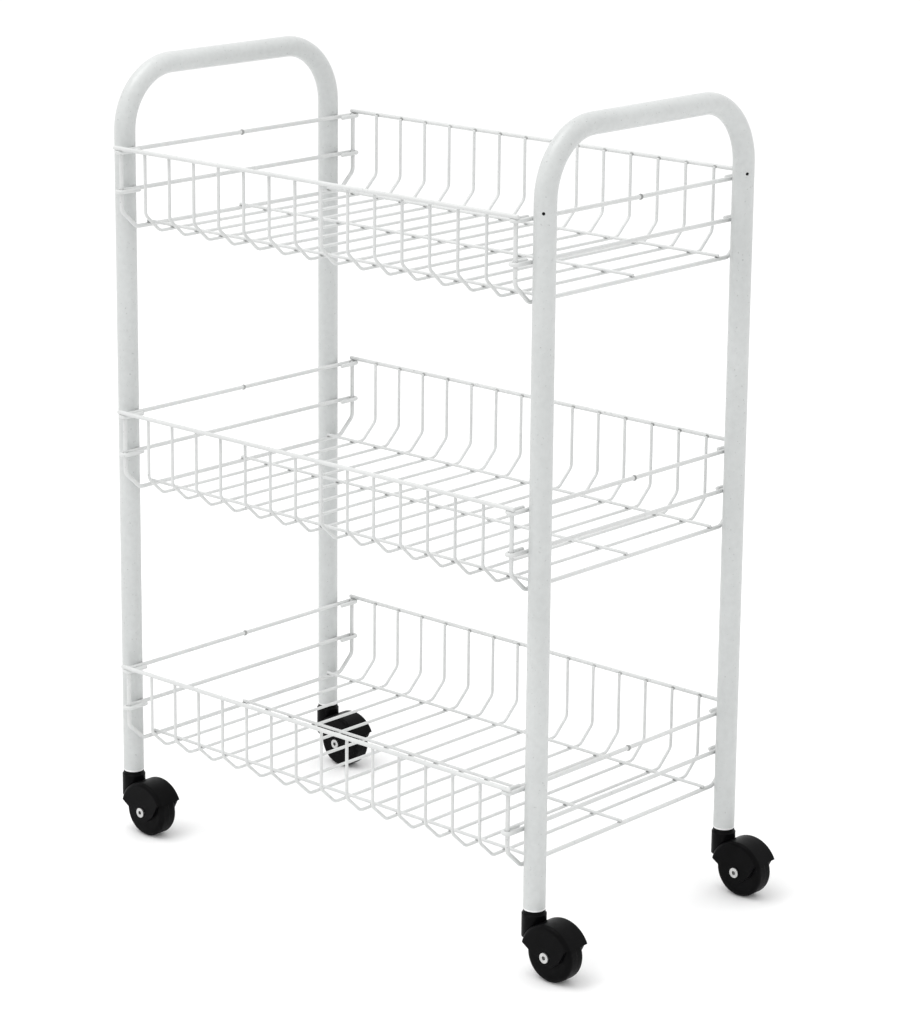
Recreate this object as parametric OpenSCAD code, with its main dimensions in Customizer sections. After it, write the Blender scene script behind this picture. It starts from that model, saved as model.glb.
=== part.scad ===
// Rolling utility cart: two bent tube end frames, three wire baskets and four hooded swivel casters.
// Millimetres, Z up. The origin is on the floor, midway between the four swivel axes.
// X runs along the long side of the baskets, Y along the short side.

/* [Overall] */
// Distance between the tube axes of the two end frames
leg_span_x = 415; // [300:1:600]
// Distance between the two legs of one end frame
leg_span_y = 219; // [150:1:400]
// Height of the axis of the handle bars above the floor
handle_z = 602; // [450:1:900]
// Height of the lowest basket rim above the floor
first_rim_z = 139; // [130:1:240]
// Height from one basket rim to the next
tier_pitch = 203; // [120:1:300]

/* [Frame tube] */
// Outer diameter of the frame tube
tube_d = 16; // [12:0.5:25]
// Wall thickness of the frame tube
tube_wall = 1.2; // [0.8:0.1:2.5]
// Bend radius of the tube axis at the handle corners
tube_bend_r = 48; // [25:1:80]
// Diameter of the small vent holes in the right frame
vent_d = 2.4; // [1.5:0.1:4]

/* [Baskets] */
// Distance between the two walls of cross wires, centre to centre
basket_y = 250; // [150:1:450]
// Depth from the rim down to the basket floor
basket_depth = 61; // [40:1:120]
// Height of the slanted part between wall and floor
chamfer_z = 13.5; // [5:0.5:25]
// Width of the slanted part between wall and floor
chamfer_y = 14.5; // [5:0.5:30]
// Distance from the slanted part to the outer floor wires
floor_wire_inset = 13; // [1:0.5:30]
// Number of cross wires in one basket, both corner wires counted
cross_count = 16; // [6:1:24]
// Drop from the rim to the lower hook wire
lower_hook_drop = 33; // [20:1:45]
// Length of the hook that comes back along the inside of the basket corner
hook_return = 16; // [8:1:22]

/* [Wire] */
// Diameter of the inner cross wires and of the floor wires
thin_d = 2.4; // [2:0.1:4]
// Diameter of the rim wires, corner wires and hook wires
thick_d = 3.2; // [2.5:0.1:5]
// Bend radius of the cross wires, on the wire axis
wire_bend_r = 7; // [4:0.5:10]
// How far crossing wires sink into each other at a weld
weld_bite = 0.12; // [0.05:0.01:0.3]

/* [Casters] */
// Diameter of the caster wheels
wheel_d = 40; // [38:1:50]
// Width of the wheel tread
wheel_w = 17; // [12:0.5:20]
// Distance from the swivel axis to the wheel axle
trail = 20; // [18:0.5:25]
// Height of the neck above the top of the hood, up to the end of the frame tube
neck_rise = 4.5; // [3:0.5:20]
// How much wider the neck is than the frame tube
neck_step = 2; // [1:0.5:6]
// Diameter of the steel stem
stem_d = 8; // [6:0.5:10]
// Length of the stem and its plug inside the tube
plug_len = 26; // [15:1:40]
// Thickness of the plug flange under the tube
flange_t = 1.5; // [1:0.1:3]
// Wall thickness of the hood over the tread
hood_wall = 2.3; // [1.5:0.1:4]
// Thickness of the cheeks beside the wheel
cheek_t = 2.4; // [1.5:0.1:4]
// Rounding of the hood edges
hood_round = 3; // [1:0.1:3.5]
// Diameter of the axle
axle_d = 5; // [3:0.5:8]
// How far an axle head reaches past the axle
axle_head_rim = 1.3; // [0.8:0.1:3]
// Thickness of an axle head
axle_head_t = 1.2; // [0.6:0.1:2]
// Rounding of the wheel tread beside each cheek
tread_round = 4; // [1:0.5:5]
// Thickness of the wall between the stem and the wheel
stem_floor = 1.7; // [1:0.1:4]

/* [Fits] */
// Radial clearance between a turning part and its shaft
run_fit = 0.05; // [0.02:0.01:0.1]
// Gap between faces that turn past each other
face_gap = 0.35; // [0.3:0.05:1]
// Gap between the wheel and the hood around it
wheel_gap = 1.2; // [0.8:0.1:3]

/* [Hidden] */
$fn = 64;

tiny = 0.01;
bend_swell = 0.1;
bend_lap = 0.25;
left = -1;
right = 1;
front = -1;
back = 1;
rim_z_bottom = first_rim_z;
rim_z_middle = first_rim_z + tier_pitch;
rim_z_top = first_rim_z + 2 * tier_pitch;
leg_x = leg_span_x / 2;
leg_y = leg_span_y / 2;
wall_y = basket_y / 2;
// The outer strand of a hook is welded to the leg, the corner wire lies one wire inside it.
hook_x = leg_x - tube_d / 2 - thick_d / 2 + weld_bite;
corner_x = hook_x - thick_d + weld_bite;
cross_pitch = 2 * corner_x / (cross_count - 1);
rim_y = wall_y + (thin_d + thick_d) / 2 - weld_bite;
rim_end_x = hook_x + thick_d / 2;
hook_turn_r = hook_x - corner_x;
upper_hook_drop = thick_d - weld_bite;
corner_top_drop = thick_d / 2 - weld_bite;
// The floor wires lie on top of the cross wires.
floor_wire_rise = thin_d - weld_bite;
floor_wire_y = wall_y - chamfer_y - floor_wire_inset;
floor_wire_x = corner_x + thick_d / 2;

tube_r = tube_d / 2;
bore_r = tube_r - tube_wall;
wheel_r = wheel_d / 2;
cavity_r = wheel_r + wheel_gap;
hood_r = cavity_r + hood_wall;
cavity_w = wheel_w + 4 * face_gap;
hood_w = cavity_w + 2 * cheek_t;
// The rounding leaves at least a millimetre of wall at the corner between tread and cheek.
edge_round = min(hood_round, hood_wall + cheek_t - 1);
tube_end_z = wheel_r + hood_r + neck_rise;
neck_r = tube_r + neck_step / 2;
neck_top = tube_end_z - flange_t - face_gap;
stem_bore_r = stem_d / 2 + run_fit;
// The stem ends above the wheel cavity, whose roof falls away from the axle.
stem_bore_low = wheel_r + stem_floor
  + sqrt(max(0, cavity_r * cavity_r - pow(max(0, trail - stem_bore_r), 2)));
stem_low = stem_bore_low + face_gap;
groove_mid = (neck_top + stem_low) / 2;
groove_h = 2.4;
groove_depth = 0.6;
neck_chamfer = 1.2;
neck_low = wheel_r + 8;
rivet_hole_depth = 4;
rivet_wall = 1;
// Corners of the lower edge of the housing, forward of and above the axle.
hood_edge = [
  [-trail - hood_r, 12], [-trail - 0.2, 5.3], [-5.2, -4], [-1.5, -6.8],
  [4.9, -6.8], [12.6, -1.1], [18, 9.5], [hood_r + 2, 11]
];

// ---- helpers ----
function heading(p, q) = atan2(q[1] - p[1], q[0] - p[0]);
function turn_by(a, b) = ((b - a + 900) % 360) - 180;
function trim_at(pts, i, r) =
  (i == 0 || i == len(pts) - 1) ? 0 :
  r * tan(abs(turn_by(heading(pts[i - 1], pts[i]), heading(pts[i], pts[i + 1]))) / 2);

// The bent corners of such a path.
module bends(pts, d, r) {
  for (i = [1 : len(pts) - 2]) {
    a = heading(pts[i - 1], pts[i]);
    t = turn_by(a, heading(pts[i], pts[i + 1]));
    s = sign(t);
    centre = pts[i] - trim_at(pts, i, r) * [cos(a), sin(a)] + r * s * [-sin(a), cos(a)];
    translate([centre[0], centre[1], 0])
      rotate([0, 0, s > 0 ? a - 90 : a + 90 - abs(t)])
        rotate_extrude(angle = abs(t))
          translate([r, 0])
            circle(d = d);
  }
}

// A round tube along a flat path in XY, with every corner bent to radius r.
module bent_tube(pts, d, r) {
  union() {
    for (i = [0 : len(pts) - 2]) {
      a = heading(pts[i], pts[i + 1]);
      from = trim_at(pts, i, r);
      to = trim_at(pts, i + 1, r);
      span = norm(pts[i + 1] - pts[i]) - from - to;
      translate([pts[i][0], pts[i][1], 0])
        rotate([0, 0, a])
          translate([from, 0, 0])
            rotate([0, 90, 0])
              cylinder(d = d, h = span);
    }
    bends(pts, d, r);
  }
}

// A wire along such a path. Its bends are a touch thicker than its straight runs, as pressed
// bends are, and the runs end just inside them, so that no two round faces coincide.
module bent_wire(pts, d, r) {
  union() {
    for (i = [0 : len(pts) - 2]) {
      from = i == 0 ? 0 : trim_at(pts, i, r) - bend_lap;
      to = i == len(pts) - 2 ? 0 : trim_at(pts, i + 1, r) - bend_lap;
      translate([pts[i][0], pts[i][1], 0])
        rotate([0, 0, heading(pts[i], pts[i + 1])])
          translate([from, 0, 0])
            rotate([0, 90, 0])
              cylinder(d = d, h = norm(pts[i + 1] - pts[i]) - from - to);
    }
    bends(pts, d + bend_swell, r);
  }
}

// Stands a flat path up in the YZ plane.
module stand_up() {
  rotate([90, 0, 90])
    children();
}

// ---- frames ----
module hoop(d, low) {
  stand_up()
    bent_tube([[-leg_y, low], [-leg_y, handle_z], [leg_y, handle_z], [leg_y, low]], d, tube_bend_r);
}

module frame_tube() {
  difference() {
    hoop(tube_d, tube_end_z);
    hoop(2 * bore_r, tube_end_z - tiny);
  }
}

module vent(side, turn) {
  translate([0, side * leg_y, rim_z_top + vent_d])
    rotate([0, 0, turn])
      rotate([0, 90, 0])
        cylinder(d = vent_d, h = tube_d);
}

module frame_left() {
  color("white")
    translate([left * leg_x, 0, 0])
      frame_tube();
}

module frame_right() {
  color("white")
    translate([right * leg_x, 0, 0])
      difference() {
        frame_tube();
        vent(front, -58);
        vent(back, -32);
      }
}

// ---- baskets ----
module cross_wire(d, drop) {
  // The floor wires rest on thin and thick wires alike, so the tops of both are level.
  depth = basket_depth + (d - thin_d) / 2;
  stand_up()
    bent_wire([
      [-wall_y, -drop],
      [-wall_y, chamfer_z - depth],
      [chamfer_y - wall_y, -depth],
      [wall_y - chamfer_y, -depth],
      [wall_y, chamfer_z - depth],
      [wall_y, -drop]
    ], d, wire_bend_r);
}

module cross_wires(rim_z) {
  color("white")
    for (i = [1 : cross_count - 2])
      translate([i * cross_pitch - corner_x, 0, rim_z])
        cross_wire(thin_d, 0);
}

module corner_wires(rim_z) {
  color("white")
    for (side = [left, right])
      translate([side * corner_x, 0, rim_z])
        cross_wire(thick_d, corner_top_drop);
}

module rim_wires(rim_z) {
  color("white")
    for (side = [front, back])
      translate([-rim_end_x, side * rim_y, rim_z])
        rotate([0, 90, 0])
          cylinder(d = thick_d, h = 2 * rim_end_x);
}

module floor_wires(rim_z) {
  color("white")
    for (y = [-floor_wire_y, 0, floor_wire_y])
      translate([-floor_wire_x, y, rim_z - basket_depth + floor_wire_rise])
        rotate([0, 90, 0])
          cylinder(d = thin_d, h = 2 * floor_wire_x);
}

module hook_wire() {
  union() {
    translate([hook_x, -wall_y, 0])
      rotate([-90, 0, 0])
        cylinder(d = thick_d, h = 2 * wall_y);
    for (side = [front, back]) {
      translate([corner_x, side * wall_y, 0])
        rotate([0, 0, side < 0 ? 180 : 0])
          rotate_extrude(angle = 180)
            translate([hook_turn_r, 0])
              circle(d = thick_d);
      translate([corner_x - hook_turn_r, side * wall_y, 0])
        rotate([side * 90, 0, 0])
          cylinder(d = thick_d, h = hook_return);
    }
  }
}

module hook_wires(rim_z, side) {
  color("white")
    for (drop = [upper_hook_drop, lower_hook_drop])
      translate([0, 0, rim_z - drop])
        rotate([0, 0, side < 0 ? 180 : 0])
          hook_wire();
}

module top_rim_wires() { rim_wires(rim_z_top); }
module top_cross_wires() { cross_wires(rim_z_top); }
module top_corner_wires() { corner_wires(rim_z_top); }
module top_floor_wires() { floor_wires(rim_z_top); }
module top_hook_wires_left() { hook_wires(rim_z_top, left); }
module top_hook_wires_right() { hook_wires(rim_z_top, right); }
module middle_rim_wires() { rim_wires(rim_z_middle); }
module middle_cross_wires() { cross_wires(rim_z_middle); }
module middle_corner_wires() { corner_wires(rim_z_middle); }
module middle_floor_wires() { floor_wires(rim_z_middle); }
module middle_hook_wires_left() { hook_wires(rim_z_middle, left); }
module middle_hook_wires_right() { hook_wires(rim_z_middle, right); }
module bottom_rim_wires() { rim_wires(rim_z_bottom); }
module bottom_cross_wires() { cross_wires(rim_z_bottom); }
module bottom_corner_wires() { corner_wires(rim_z_bottom); }
module bottom_floor_wires() { floor_wires(rim_z_bottom); }
module bottom_hook_wires_left() { hook_wires(rim_z_bottom, left); }
module bottom_hook_wires_right() { hook_wires(rim_z_bottom, right); }

// ---- casters, drawn about the swivel axis ----
module at_leg(sx, sy) {
  translate([sx * leg_x, sy * leg_y, 0])
    children();
}

module across(r, w) {
  rotate([90, 0, 0])
    cylinder(r = r, h = w, center = true);
}

// Plastic plug pressed into the tube, bored for the stem.
module plug() {
  color("dimgray")
    difference() {
      union() {
        translate([0, 0, tube_end_z - flange_t])
          cylinder(r = tube_r, h = flange_t);
        translate([0, 0, tube_end_z])
          cylinder(r = bore_r, h = plug_len);
      }
      translate([0, 0, tube_end_z - flange_t - tiny])
        cylinder(d = stem_d, h = plug_len + flange_t + 2 * tiny);
    }
}

// Steel stem, fixed in the plug; the housing turns on its lower end.
module stem() {
  color("silver")
    difference() {
      translate([0, 0, stem_low])
        cylinder(d = stem_d, h = tube_end_z + plug_len - stem_low);
      translate([0, 0, groove_mid - groove_h / 2])
        difference() {
          cylinder(d = stem_d + 1, h = groove_h);
          translate([0, 0, -tiny])
            cylinder(r = stem_d / 2 - groove_depth, h = groove_h + 2 * tiny);
        }
    }
}

// Side outline of the housing: open below and in front so that the tread shows.
module housing_outline() {
  translate([trail, wheel_r])
    polygon(concat(
      [[-trail - hood_r, hood_r + 1]],
      hood_edge,
      [[hood_r + 2, hood_r + 1]]
    ));
}

module hood_body() {
  rotate([90, 0, 0])
    rotate_extrude() {
      square([hood_r - edge_round, hood_w / 2]);
      square([hood_r, hood_w / 2 - edge_round]);
      translate([hood_r - edge_round, hood_w / 2 - edge_round])
        circle(r = edge_round);
      translate([0, -hood_w / 2])
        square([hood_r - edge_round, hood_w / 2 + tiny]);
      translate([0, edge_round - hood_w / 2])
        square([hood_r, hood_w / 2 - edge_round + tiny]);
      translate([hood_r - edge_round, edge_round - hood_w / 2])
        circle(r = edge_round);
    }
}

module housing() {
  color("black")
    difference() {
      union() {
        intersection() {
          translate([trail, 0, wheel_r])
            hood_body();
          rotate([90, 0, 0])
            linear_extrude(height = hood_w + 2, center = true)
              housing_outline();
        }
        translate([0, 0, neck_low])
          cylinder(r = neck_r, h = neck_top - neck_low - neck_chamfer);
        translate([0, 0, neck_top - neck_chamfer])
          cylinder(r1 = neck_r, r2 = neck_r - neck_chamfer, h = neck_chamfer);
      }
      translate([trail, 0, wheel_r])
        across(cavity_r, cavity_w);
      translate([trail, 0, wheel_r])
        across(axle_d / 2, hood_w + 2);
      difference() {
        translate([0, 0, stem_bore_low])
          cylinder(r = stem_bore_r, h = tube_end_z);
        // snap rib that sits in the stem groove
        translate([0, 0, groove_mid - groove_h / 2 + face_gap])
          difference() {
            cylinder(r = stem_d / 2 + 1, h = groove_h - 2 * face_gap);
            translate([0, 0, -tiny])
              cylinder(r = stem_d / 2 - groove_depth + run_fit, h = groove_h);
          }
      }
    }
}

module wheel() {
  color([0.12, 0.12, 0.12])
    translate([trail, 0, wheel_r])
      difference() {
        rotate([90, 0, 0])
          rotate_extrude() {
            translate([0, -wheel_w / 2])
              square([wheel_r - tread_round, wheel_w]);
            translate([0, tread_round - wheel_w / 2])
              square([wheel_r, wheel_w - 2 * tread_round]);
            for (s = [-1, 1])
              translate([wheel_r - tread_round, s * (wheel_w / 2 - tread_round)])
                circle(r = tread_round);
          }
        across(axle_d / 2 + run_fit, wheel_w + 1);
      }
}

// Hollow rivet that is the wheel axle, one head on each cheek.
module axle() {
  color("silver")
    translate([trail, 0, wheel_r])
      difference() {
        union() {
          across(axle_d / 2, hood_w);
          for (s = [-1, 1])
            translate([0, s * (hood_w / 2 + axle_head_t / 2), 0])
              across(axle_d / 2 + axle_head_rim, axle_head_t);
        }
        for (s = [-1, 1])
          translate([0, s * (hood_w / 2 + axle_head_t), 0])
            across(axle_d / 2 - rivet_wall, 2 * rivet_hole_depth);
      }
}

module plug_left_front() { at_leg(left, front) plug(); }
module stem_left_front() { at_leg(left, front) stem(); }
module housing_left_front() { at_leg(left, front) housing(); }
module wheel_left_front() { at_leg(left, front) wheel(); }
module axle_left_front() { at_leg(left, front) axle(); }
module plug_left_back() { at_leg(left, back) plug(); }
module stem_left_back() { at_leg(left, back) stem(); }
module housing_left_back() { at_leg(left, back) housing(); }
module wheel_left_back() { at_leg(left, back) wheel(); }
module axle_left_back() { at_leg(left, back) axle(); }
module plug_right_front() { at_leg(right, front) plug(); }
module stem_right_front() { at_leg(right, front) stem(); }
module housing_right_front() { at_leg(right, front) housing(); }
module wheel_right_front() { at_leg(right, front) wheel(); }
module axle_right_front() { at_leg(right, front) axle(); }
module plug_right_back() { at_leg(right, back) plug(); }
module stem_right_back() { at_leg(right, back) stem(); }
module housing_right_back() { at_leg(right, back) housing(); }
module wheel_right_back() { at_leg(right, back) wheel(); }
module axle_right_back() { at_leg(right, back) axle(); }

frame_left();
frame_right();
top_rim_wires();
top_cross_wires();
top_corner_wires();
top_floor_wires();
top_hook_wires_left();
top_hook_wires_right();
middle_rim_wires();
middle_cross_wires();
middle_corner_wires();
middle_floor_wires();
middle_hook_wires_left();
middle_hook_wires_right();
bottom_rim_wires();
bottom_cross_wires();
bottom_corner_wires();
bottom_floor_wires();
bottom_hook_wires_left();
bottom_hook_wires_right();
plug_left_front();
stem_left_front();
housing_left_front();
wheel_left_front();
axle_left_front();
plug_left_back();
stem_left_back();
housing_left_back();
wheel_left_back();
axle_left_back();
plug_right_front();
stem_right_front();
housing_right_front();
wheel_right_front();
axle_right_front();
plug_right_back();
stem_right_back();
housing_right_back();
wheel_right_back();
axle_right_back();
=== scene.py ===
import math
import random

import bmesh
import bpy
from mathutils import Matrix, Vector


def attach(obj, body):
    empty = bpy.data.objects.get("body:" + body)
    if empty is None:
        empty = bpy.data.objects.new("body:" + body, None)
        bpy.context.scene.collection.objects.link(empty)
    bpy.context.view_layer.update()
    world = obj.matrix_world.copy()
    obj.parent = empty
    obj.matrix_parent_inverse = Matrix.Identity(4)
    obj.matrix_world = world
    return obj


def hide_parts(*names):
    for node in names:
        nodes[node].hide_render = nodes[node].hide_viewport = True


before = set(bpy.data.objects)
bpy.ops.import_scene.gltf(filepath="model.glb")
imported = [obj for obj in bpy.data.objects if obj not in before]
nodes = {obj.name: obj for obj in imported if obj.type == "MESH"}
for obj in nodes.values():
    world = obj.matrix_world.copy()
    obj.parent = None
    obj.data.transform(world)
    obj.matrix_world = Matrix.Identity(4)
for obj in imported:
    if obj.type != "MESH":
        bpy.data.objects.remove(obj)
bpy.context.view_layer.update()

rng = random.Random(7)

# Sizes in metres, the same as the CAD model's.
TUBE_R, TUBE_WALL, TUBE_BEND_R = 0.008, 0.0012, 0.048
LEG_X, LEG_Y, HANDLE_Z, TUBE_END_Z = 0.2075, 0.1095, 0.602, 0.048
THIN_R, THICK_R, BITE = 0.0012, 0.0016, 0.00012
WALL_Y, DEPTH = 0.125, 0.061
CHAMFER_Z, CHAMFER_Y, WIRE_BEND_R = 0.0135, 0.0145, 0.007
CROSS_COUNT = 16
LOWER_HOOK_DROP, HOOK_RETURN = 0.033, 0.016
FLOOR_WIRE_INSET = 0.013
TIERS = {"bottom": 0.139, "middle": 0.342, "top": 0.545}
FRONT, BACK = -1, 1
VENT_R = 0.0012
VENT_HEADINGS = {FRONT: -58, BACK: -32}  # degrees from +X, seen from above

# Sizes that only the looks have.
TUBE_LIP, RIM_BAND = 0.0003, 0.0014
TUBE_SIDES, THICK_SIDES, THIN_SIDES, VENT_SIDES, HOOK_STEPS = 56, 24, 20, 24, 24
BUTT_WELD_Y = 0.004
# Half sizes of the weld swellings: along, across and out of the joint.
RIM_WELD = (0.0017, 0.0015, 0.0009)
# The floor weld swellings reach out along the cross wire on both sides of the floor wire to carry the
# painted contact shadow.
FLOOR_WELD = (0.0013, 0.0029, 0.0008)
LEG_WELD = (0.0034, 0.0019, 0.0008)
HOOK_WELD = (0.0020, 0.0018, 0.0007)
BUTT_WELD = (0.0021, 0.0023, 0.0022)

HOOK_X = LEG_X - TUBE_R - THICK_R + BITE
CORNER_X = HOOK_X - 2 * THICK_R + BITE
HOOK_TURN_R = HOOK_X - CORNER_X
CROSS_PITCH = 2 * CORNER_X / (CROSS_COUNT - 1)
RIM_Y = WALL_Y + THIN_R + THICK_R - BITE
RIM_END_X = HOOK_X + THICK_R
UPPER_HOOK_DROP = 2 * THICK_R - BITE
CORNER_TOP_DROP = THICK_R - BITE
FLOOR_WIRE_RISE = 2 * THIN_R - BITE
FLOOR_WIRE_Y = WALL_Y - CHAMFER_Y - FLOOR_WIRE_INSET
FLOOR_WIRE_X = CORNER_X + THICK_R
FLOOR_WIRE_ROWS = (-FLOOR_WIRE_Y, 0.0, FLOOR_WIRE_Y)


# ---- mesh helpers ----
def rounded(corners, radius, step=math.radians(5)):
    """The centre line of a bent bar: straight runs joined by round bends."""
    corners = [Vector(c) for c in corners]
    line = [corners[0]]
    for before, corner, after in zip(corners, corners[1:], corners[2:]):
        come = (corner - before).normalized()
        leave = (after - corner).normalized()
        turn = come.angle(leave)
        axis = come.cross(leave).normalized()
        start = corner - come * radius * math.tan(turn / 2)
        centre = start + axis.cross(come) * radius
        count = max(4, math.ceil(turn / step))
        for i in range(count + 1):
            line.append(centre + Matrix.Rotation(turn * i / count, 3, axis) @ (start - centre))
    line.append(corners[-1])
    return line


def rings(bm, line, profile, sides):
    """Rings of vertices along a line. The profile gives the radius at each of its points."""
    made = []
    normal = None
    for i, (point, radius) in enumerate(zip(line, profile)):
        before = line[max(i - 1, 0)]
        after = line[min(i + 1, len(line) - 1)]
        tangent = (after - before).normalized()
        turned = tangent.orthogonal() if normal is None else normal - tangent * normal.dot(tangent)
        normal = turned.normalized()
        side = tangent.cross(normal)
        made.append([
            bm.verts.new(point + (normal * math.cos(a) + side * math.sin(a)) * radius)
            for a in (2 * math.pi * k / sides for k in range(sides))
        ])
    return made


def skin(bm, made):
    for low, high in zip(made, made[1:]):
        for k in range(len(low)):
            j = (k + 1) % len(low)
            bm.faces.new((low[k], low[j], high[j], high[k]))


def wire(bm, line, radius, sides):
    """A coated wire along a line, with its cut ends rounded over by the coating."""
    line = [Vector(p) for p in line]
    head = (line[1] - line[0]).normalized()
    tail = (line[-2] - line[-1]).normalized()
    ends = ((0.0, 0.45), (0.12, 0.76), (0.35, 0.95), (0.7, 1.0))
    full = (
        [line[0] + head * radius * back for back, _ in ends]
        + line[1:-1]
        + [line[-1] + tail * radius * back for back, _ in reversed(ends)]
    )
    profile = (
        [radius * share for _, share in ends]
        + [radius] * (len(line) - 2)
        + [radius * share for _, share in reversed(ends)]
    )
    made = rings(bm, full, profile, sides)
    skin(bm, made)
    bm.faces.new(made[0])
    bm.faces.new(list(reversed(made[-1])))


def nugget(bm, centre, along, across, size):
    """The small swelling of weld and coating where two wires meet, coloured dark grey as painted contact
    shadow.
    """
    x = Vector(along).normalized()
    z = x.cross(Vector(across)).normalized()
    y = z.cross(x)
    wobble = [s * rng.uniform(0.92, 1.05) for s in size]
    turn = Matrix((x * wobble[0], y * wobble[1], z * wobble[2])).transposed().to_4x4()
    new = bmesh.ops.create_icosphere(
        bm, subdivisions=2, radius=1.0, matrix=Matrix.Translation(Vector(centre)) @ turn)
    for vert in new["verts"]:
        for face in vert.link_faces:
            face.material_index = 1


def piece(bm, name, node):
    bmesh.ops.recalc_face_normals(bm, faces=bm.faces)
    mesh = bpy.data.meshes.new(name)
    bm.to_mesh(mesh)
    bm.free()
    mesh.shade_smooth()
    mesh.set_sharp_from_angle(angle=math.radians(45))
    obj = bpy.data.objects.new(name, mesh)
    bpy.context.scene.collection.objects.link(obj)
    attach(obj, "frame")
    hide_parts(node)
    return obj


# ---- materials ----
class Nodes:
    """A material under construction: its node tree, its shader and its object coordinates."""

    def __init__(self, name, **sockets):
        self.material = bpy.data.materials.new(name)
        self.material.use_nodes = True
        self.tree = self.material.node_tree
        self.shader = self.tree.nodes["Principled BSDF"]
        for key, value in sockets.items():
            self.shader.inputs[key.replace("_", " ")].default_value = value
        self.place = self.tree.nodes.new("ShaderNodeTexCoord").outputs["Object"]

    def link(self, source, target):
        self.tree.links.new(source, target)

    def noise(self, scale, detail=3.0, rough=0.5, stretch=None):
        tex = self.tree.nodes.new("ShaderNodeTexNoise")
        tex.inputs["Scale"].default_value = scale
        tex.inputs["Detail"].default_value = detail
        tex.inputs["Roughness"].default_value = rough
        if stretch:
            mapping = self.tree.nodes.new("ShaderNodeMapping")
            mapping.inputs["Scale"].default_value = stretch
            self.link(self.place, mapping.inputs["Vector"])
            self.link(mapping.outputs["Vector"], tex.inputs["Vector"])
        else:
            self.link(self.place, tex.inputs["Vector"])
        return tex.outputs["Fac"]

    def ramp(self, value, stops):
        node = self.tree.nodes.new("ShaderNodeValToRGB")
        marks = node.color_ramp.elements
        while len(marks) < len(stops):
            marks.new(0.5)
        for mark, (place, colour) in zip(marks, stops):
            mark.position = place
            mark.color = (*colour, 1.0) if isinstance(colour, tuple) else (colour, colour, colour, 1.0)
        self.link(value, node.inputs["Fac"])
        return node.outputs["Color"]

    def mix(self, factor, first, second, kind="MIX"):
        node = self.tree.nodes.new("ShaderNodeMix")
        node.data_type = "RGBA"
        node.blend_type = kind
        if isinstance(factor, float):
            node.inputs["Factor"].default_value = factor
        else:
            self.link(factor, node.inputs["Factor"])
        for value, socket in ((first, node.inputs[6]), (second, node.inputs[7])):
            if isinstance(value, tuple):
                socket.default_value = (*value, 1.0)
            else:
                self.link(value, socket)
        return node.outputs[2]

    def maths(self, kind, *values):
        node = self.tree.nodes.new("ShaderNodeMath")
        node.operation = kind
        for value, socket in zip(values, node.inputs):
            if isinstance(value, (int, float)):
                socket.default_value = value
            else:
                self.link(value, socket)
        return node.outputs[0]

    def bump(self, height, strength, distance, under=None):
        node = self.tree.nodes.new("ShaderNodeBump")
        node.inputs["Strength"].default_value = strength
        node.inputs["Distance"].default_value = distance
        self.link(height, node.inputs["Height"])
        if under is not None:
            self.link(under, node.inputs["Normal"])
        return node.outputs["Normal"]

    def finish(self, colour=None, roughness=None, normal=None):
        for value, key in ((colour, "Base Color"), (roughness, "Roughness"), (normal, "Normal")):
            if value is not None:
                self.link(value, self.shader.inputs[key])
        return self.material


def powder_coat(name, light, shade, grain, peel):
    """White powder coating on steel: orange peel, cloudy tone, a few dust specks."""
    m = Nodes(name, Specular_IOR_Level=0.5, Coat_Weight=0.12, Coat_Roughness=0.18)
    clouds = m.ramp(m.noise(9.0, 4.0, 0.55), ((0.32, shade), (0.68, light)))
    mottle = m.ramp(m.noise(240.0, 3.0), ((0.3, 0.94), (0.7, 1.0)))
    specks = m.ramp(m.noise(620.0, 1.0), ((0.70, 1.0), (0.78, 0.72)))
    colour = m.mix(1.0, m.mix(1.0, clouds, mottle, "MULTIPLY"), specks, "MULTIPLY")
    roughness = m.ramp(m.noise(160.0, 3.0), ((0.3, 0.30), (0.7, 0.46)))
    fine = m.bump(m.noise(grain, 2.0, 0.45), peel, 0.00022)
    wave = m.bump(m.noise(95.0, 2.0), 0.25, 0.0004, fine)
    return m.finish(colour, roughness, wave)


def moulded(name, base, pale, gloss, dull, grain, depth):
    """Black moulded plastic: spark-eroded grain, faint flow marks, scattered scuffs."""
    m = Nodes(name, Specular_IOR_Level=0.05)
    clouds = m.ramp(m.noise(60.0, 4.0, 0.6), ((0.35, base), (0.75, pale)))
    dust = m.ramp(m.noise(900.0, 2.0), ((0.66, (0.0, 0.0, 0.0)), (0.82, (0.010, 0.010, 0.0105))))
    scuffs = m.ramp(
        m.noise(70.0, 5.0, 0.7, (1.0, 1.0, 7.0)), ((0.66, (0.0, 0.0, 0.0)), (0.74, (0.006, 0.006, 0.0065))))
    colour = m.mix(1.0, m.mix(1.0, clouds, dust, "ADD"), scuffs, "ADD")
    roughness = m.ramp(m.noise(140.0, 4.0), ((0.3, gloss), (0.7, dull)))
    normal = m.bump(m.noise(grain, 2.0), depth, 0.00012)
    return m.finish(colour, roughness, normal)


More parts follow.
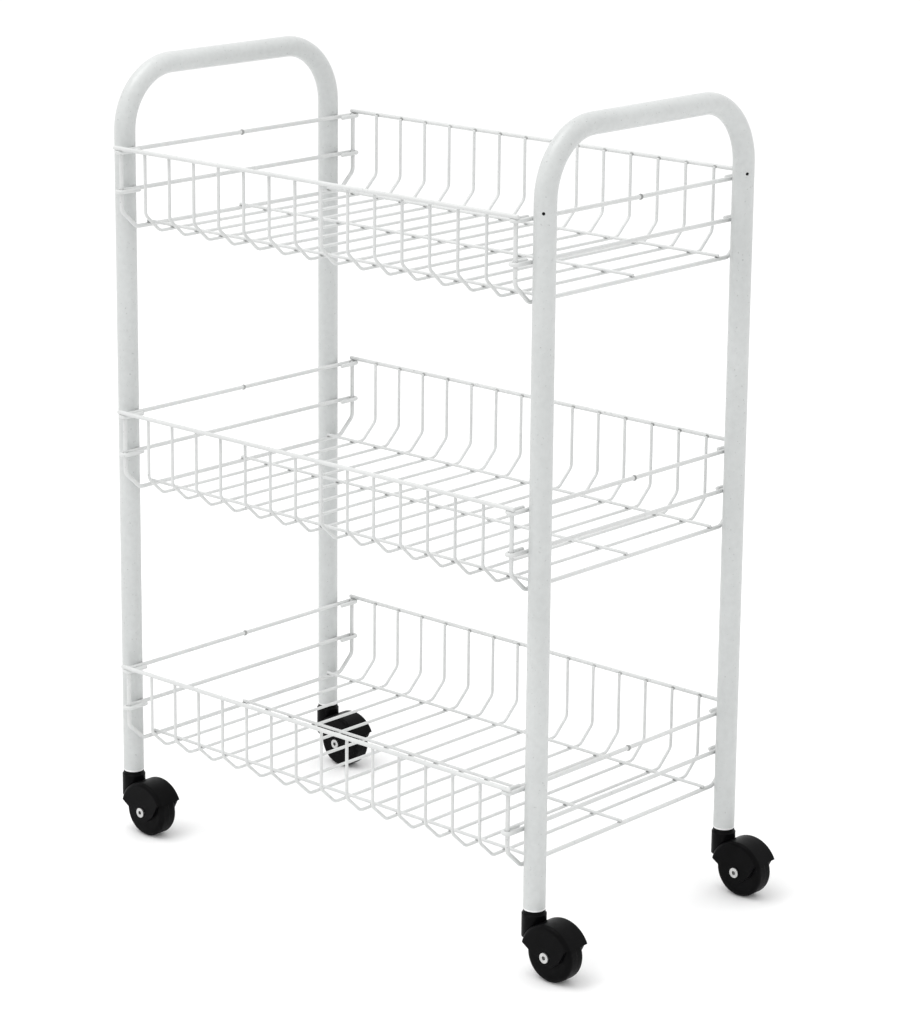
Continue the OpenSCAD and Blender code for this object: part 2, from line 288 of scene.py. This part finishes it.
def tread_plastic():
    """The wheels: turned rings from the mould, a parting line round the middle and rolling wear."""
    m = Nodes("wheel_plastic", Specular_IOR_Level=0.05)
    clouds = m.ramp(
        m.noise(75.0, 4.0, 0.6), ((0.35, (0.0016, 0.0016, 0.0018)), (0.75, (0.0044, 0.0044, 0.0047))))
    grit = m.ramp(m.noise(700.0, 3.0, 0.7), ((0.60, (0.0, 0.0, 0.0)), (0.80, (0.030, 0.029, 0.027))))
    split = m.tree.nodes.new("ShaderNodeSeparateXYZ")
    m.link(m.place, split.inputs[0])
    off_centre = m.maths("ABSOLUTE", m.maths("SUBTRACT", m.maths("ABSOLUTE", split.outputs["Y"]), LEG_Y))
    worn = m.ramp(m.maths("MULTIPLY", off_centre, 100.0), ((0.30, 1.0), (0.62, 0.0)))
    colour = m.mix(1.0, clouds, m.mix(worn, (0.0, 0.0, 0.0), grit), "ADD")
    roughness = m.ramp(m.noise(220.0, 4.0), ((0.3, 0.34), (0.7, 0.56)))
    seam = m.ramp(m.maths("MULTIPLY", off_centre, 1000.0), ((0.12, 1.0), (0.3, 0.0)))
    lines = m.noise(60.0, 2.0, 0.5, (1.0, 40.0, 1.0))
    normal = m.bump(seam, 0.6, 0.0003, m.bump(lines, 0.25, 0.0002, m.bump(m.noise(2600.0), 0.2, 0.0001)))
    return m.finish(colour, roughness, normal)


def metal(name, light, shade, gloss, dull, stretch):
    m = Nodes(name, Metallic=1.0)
    colour = m.ramp(m.noise(420.0, 4.0, 0.6), ((0.3, shade), (0.7, light)))
    roughness = m.ramp(m.noise(900.0, 4.0, 0.65), ((0.3, gloss), (0.7, dull)))
    normal = m.bump(m.noise(800.0, 4.0, 0.6, stretch), 0.35, 0.0001)
    return m.finish(colour, roughness, normal)


TUBE_WHITE = powder_coat("tube_powder_coat", (0.575, 0.59, 0.585), (0.525, 0.54, 0.535), 950.0, 0.22)
WIRE_WHITE = powder_coat("wire_powder_coat", (0.65, 0.66, 0.655), (0.59, 0.60, 0.595), 1500.0, 0.16)
# Dark grey for the weld swellings: painted contact shadow where one wire lies on another.
PAINTED_WELD_SHADOW = powder_coat("painted_shadow_at_welds", (0.46, 0.465, 0.46), (0.16, 0.165, 0.16), 1500.0, 0.3)
# Brighter white for the bottom band of each tube: a painted highlight along the tube ends.
TUBE_END_HIGHLIGHT = powder_coat("painted_highlight_at_tube_ends", (0.86, 0.86, 0.86), (0.80, 0.80, 0.80), 950.0, 0.22)
HOOD_BLACK = moulded(
    "hood_plastic", (0.0016, 0.0016, 0.0018), (0.0034, 0.0034, 0.0037), 0.28, 0.42, 3200.0, 0.25)
PLUG_BLACK = moulded(
    "plug_plastic", (0.004, 0.004, 0.004), (0.008, 0.008, 0.0085), 0.42, 0.58, 2400.0, 0.3)
WHEEL_BLACK = tread_plastic()
RIVET_STEEL = metal(
    "rivet_steel", (0.62, 0.62, 0.61), (0.48, 0.48, 0.48), 0.26, 0.46, (1.0, 1.0, 6.0))
STEM_STEEL = metal(
    "zinc_plated_stem", (0.70, 0.71, 0.70), (0.52, 0.53, 0.51), 0.28, 0.50, (1.0, 1.0, 12.0))


# ---- frames ----
def frame_piece(side, name):
    bm = bmesh.new()
    line = rounded([
        (side * LEG_X, -LEG_Y, TUBE_END_Z), (side * LEG_X, -LEG_Y, HANDLE_Z),
        (side * LEG_X, LEG_Y, HANDLE_Z), (side * LEG_X, LEG_Y, TUBE_END_Z),
    ], TUBE_BEND_R, math.radians(3))
    up = Vector((0, 0, TUBE_LIP))
    band = Vector((0, 0, RIM_BAND))
    line = [line[0], line[0] + up, line[0] + band, *line[1:-1], line[-1] + band, line[-1] + up, line[-1]]
    count = len(line)

    def wall(radius, ease):
        profile = [radius] * count
        profile[0] = profile[-1] = radius + ease
        made = rings(bm, line, profile, TUBE_SIDES)
        skin(bm, made)
        return made

    outer = wall(TUBE_R, -TUBE_LIP)
    inner = wall(TUBE_R - TUBE_WALL, 0.0)
    for a, b in ((outer[0], inner[0]), (outer[-1], inner[-1])):
        for k in range(len(a)):
            j = (k + 1) % len(a)
            bm.faces.new((a[k], a[j], b[j], b[k]))
    return piece(bm, name + "_coated", name)


def drill_vents(obj):
    """Small round holes that let the coating gases out of the tube."""
    cutters = []
    for end, heading in VENT_HEADINGS.items():
        bm = bmesh.new()
        a = math.radians(heading)
        out = Vector((math.cos(a), math.sin(a), 0))
        centre = Vector((LEG_X, end * LEG_Y, TIERS["top"] + 2 * VENT_R))
        made = rings(bm, [centre, centre + out * 2 * TUBE_R], [VENT_R, VENT_R], VENT_SIDES)
        skin(bm, made)
        bm.faces.new(made[0])
        bm.faces.new(made[1])
        bmesh.ops.recalc_face_normals(bm, faces=bm.faces)
        mesh = bpy.data.meshes.new("vent_cutter")
        bm.to_mesh(mesh)
        bm.free()
        cutter = bpy.data.objects.new("vent_cutter", mesh)
        bpy.context.scene.collection.objects.link(cutter)
        cutters.append(cutter)
        cut = obj.modifiers.new("vent", "BOOLEAN")
        cut.operation = "DIFFERENCE"
        cut.solver = "EXACT"
        cut.object = cutter
    bpy.context.view_layer.update()
    done = bpy.data.meshes.new_from_object(obj.evaluated_get(bpy.context.evaluated_depsgraph_get()))
    obj.modifiers.clear()
    obj.data = done
    done.shade_smooth()
    done.set_sharp_from_angle(angle=math.radians(45))
    for cutter in cutters:
        bpy.data.objects.remove(cutter)


frames = [frame_piece(-1, "frame_left"), frame_piece(1, "frame_right")]
drill_vents(frames[1])
for obj in frames:
    obj.data.materials.clear()
    obj.data.materials.append(TUBE_WHITE)
    obj.data.materials.append(TUBE_END_HIGHLIGHT)
    # Faces in the bottom RIM_BAND take the brighter second material, a painted highlight.
    for face in obj.data.polygons:
        face.material_index = int(face.center.z < TUBE_END_Z + RIM_BAND)


# ---- baskets ----
def cross_line(x, rim_z, drop, radius):
    low = rim_z - DEPTH - (radius - THIN_R)
    return rounded([
        (x, -WALL_Y, rim_z - drop),
        (x, -WALL_Y, low + CHAMFER_Z),
        (x, CHAMFER_Y - WALL_Y, low),
        (x, WALL_Y - CHAMFER_Y, low),
        (x, WALL_Y, low + CHAMFER_Z),
        (x, WALL_Y, rim_z - drop),
    ], WIRE_BEND_R)


def hook_line(side, z):
    """One end wire: along the leg side, round each basket corner and back along the inside."""
    inside = CORNER_X - HOOK_TURN_R
    line = [Vector((side * inside, HOOK_RETURN - WALL_Y, z))]
    out = range(HOOK_STEPS + 1)
    for end, steps in ((FRONT, out), (BACK, reversed(out))):
        for i in steps:
            a = math.pi * i / HOOK_STEPS
            x = CORNER_X - HOOK_TURN_R * math.cos(a)
            y = WALL_Y + HOOK_TURN_R * math.sin(a)
            line.append(Vector((side * x, end * y, z)))
    line.append(Vector((side * inside, WALL_Y - HOOK_RETURN, z)))
    return line


def basket(tier, rim_z):
    floor_z = rim_z - DEPTH
    inner = [i * CROSS_PITCH - CORNER_X for i in range(1, CROSS_COUNT - 1)]
    corners = [-CORNER_X, CORNER_X]
    made = {}

    bm = bmesh.new()
    for end in (FRONT, BACK):
        y = end * RIM_Y
        wire(bm, [(-RIM_END_X, y, rim_z), (RIM_END_X, y, rim_z)], THICK_R, THICK_SIDES)
    made["rim_wires"] = bm

    bm = bmesh.new()
    for x in inner:
        wire(bm, cross_line(x, rim_z, 0.0, THIN_R), THIN_R, THIN_SIDES)
        for end in (FRONT, BACK):
            nugget(bm, (x, end * (WALL_Y + THIN_R * 0.8), rim_z - 0.0003), (1, 0, 0), (0, 0, 1), RIM_WELD)
        for y in FLOOR_WIRE_ROWS:
            nugget(bm, (x, y, floor_z + THIN_R * 0.78), (1, 0, 0), (0, 1, 0), FLOOR_WELD)
    made["cross_wires"] = bm

    bm = bmesh.new()
    for x in corners:
        wire(bm, cross_line(x, rim_z, CORNER_TOP_DROP, THICK_R), THICK_R, THICK_SIDES)
        for y in FLOOR_WIRE_ROWS:
            nugget(bm, (x, y, floor_z + THIN_R * 0.78), (1, 0, 0), (0, 1, 0), FLOOR_WELD)
    made["corner_wires"] = bm

    bm = bmesh.new()
    z = floor_z + FLOOR_WIRE_RISE
    for y in FLOOR_WIRE_ROWS:
        wire(bm, [(-FLOOR_WIRE_X, y, z), (FLOOR_WIRE_X, y, z)], THIN_R, THIN_SIDES)
    made["floor_wires"] = bm

    for side, word in ((-1, "left"), (1, "right")):
        bm = bmesh.new()
        for drop in (UPPER_HOOK_DROP, LOWER_HOOK_DROP):
            z = rim_z - drop
            wire(bm, hook_line(side, z), THICK_R, THICK_SIDES)
            for end in (FRONT, BACK):
                nugget(bm, (side * (HOOK_X + THICK_R * 0.8), end * LEG_Y, z), (0, 1, 0), (0, 0, 1), LEG_WELD)
                for strand in (HOOK_X - THICK_R, CORNER_X - HOOK_TURN_R + THICK_R):
                    nugget(bm, (side * strand, end * WALL_Y, z), (0, 1, 0), (0, 0, 1), HOOK_WELD)
        # The two halves of the upper hook wire are butt-welded near the middle.
        z = rim_z - UPPER_HOOK_DROP
        nugget(bm, (side * HOOK_X, BUTT_WELD_Y, z - 0.0001), (0, 1, 0), (0, 0, 1), BUTT_WELD)
        made["hook_wires_" + word] = bm

    for part, bm in made.items():
        node = tier + "_" + part
        mesh = piece(bm, node + "_coated", node).data
        mesh.materials.append(WIRE_WHITE)
        mesh.materials.append(PAINTED_WELD_SHADOW)


for tier, rim_z in TIERS.items():
    basket(tier, rim_z)


# ---- casters, which stay the CAD solids ----
FINISH = {
    "housing": HOOD_BLACK, "plug": PLUG_BLACK, "wheel": WHEEL_BLACK,
    "axle": RIVET_STEEL, "stem": STEM_STEEL,
}
for name, obj in nodes.items():
    for word, material in FINISH.items():
        if name.startswith(word + "_"):
            for place in obj.material_slots:
                place.material = material


# ---- studio ----
def area_light(name, at, aim, size, energy):
    light = bpy.data.lights.new(name, "AREA")
    light.shape = "RECTANGLE"
    light.size, light.size_y = size
    light.energy = energy
    obj = bpy.data.objects.new(name, light)
    obj.location = at
    obj.rotation_mode = "QUATERNION"
    obj.rotation_quaternion = (Vector(at) - Vector(aim)).to_track_quat("Z", "Y")
    bpy.context.scene.collection.objects.link(obj)


def floor():
    bm = bmesh.new()
    bmesh.ops.create_circle(bm, cap_ends=True, segments=96, radius=18.0)
    mesh = bpy.data.meshes.new("floor")
    bm.to_mesh(mesh)
    bm.free()
    obj = bpy.data.objects.new("floor", mesh)
    bpy.context.scene.collection.objects.link(obj)
    m = Nodes("floor_white", Specular_IOR_Level=0.1)
    mesh.materials.append(m.finish(
        m.ramp(m.noise(2.0, 3.0), ((0.3, (0.93, 0.93, 0.93)), (0.7, (0.945, 0.945, 0.945)))),
        m.ramp(m.noise(30.0), ((0.3, 0.85), (0.7, 0.95)))))


floor()
world = bpy.data.worlds.new("studio")
world.use_nodes = True
world.node_tree.nodes["Background"].inputs["Color"].default_value = (1.0, 1.0, 1.0, 1.0)
world.node_tree.nodes["Background"].inputs["Strength"].default_value = 1.08
bpy.context.scene.world = world
area_light("key", at=(-0.6, -0.9, 3.4), aim=(0, 0, 0.4), size=(2.0, 2.0), energy=44.0)
bpy.context.scene.view_settings.view_transform = "Standard"


# ---- camera ----
def camera(azimuth, elevation, roll, distance, lens, shift, target):
    a, e, r = (math.radians(v) for v in (azimuth, elevation, roll))
    back = Vector((math.sin(a) * math.cos(e), -math.cos(a) * math.cos(e), math.sin(e)))
    side = Vector((math.cos(a), math.sin(a), 0))
    up = back.cross(side)
    right = side * math.cos(r) + up * math.sin(r)
    data = bpy.data.cameras.new("camera")
    data.sensor_width = 36.0
    data.lens = lens
    data.shift_y = shift
    obj = bpy.data.objects.new("camera", data)
    bpy.context.scene.collection.objects.link(obj)
    obj.matrix_world = Matrix.Translation(Vector(target) + back * distance) @ Matrix(
        (right, back.cross(right), back)).transposed().to_4x4()
    bpy.context.scene.camera = obj


camera(
    azimuth=41.766, elevation=13.753, roll=0.569, distance=2.5245, lens=117.22, shift=-0.1094,
    target=(-0.0012, 0.0407, 0.3555))
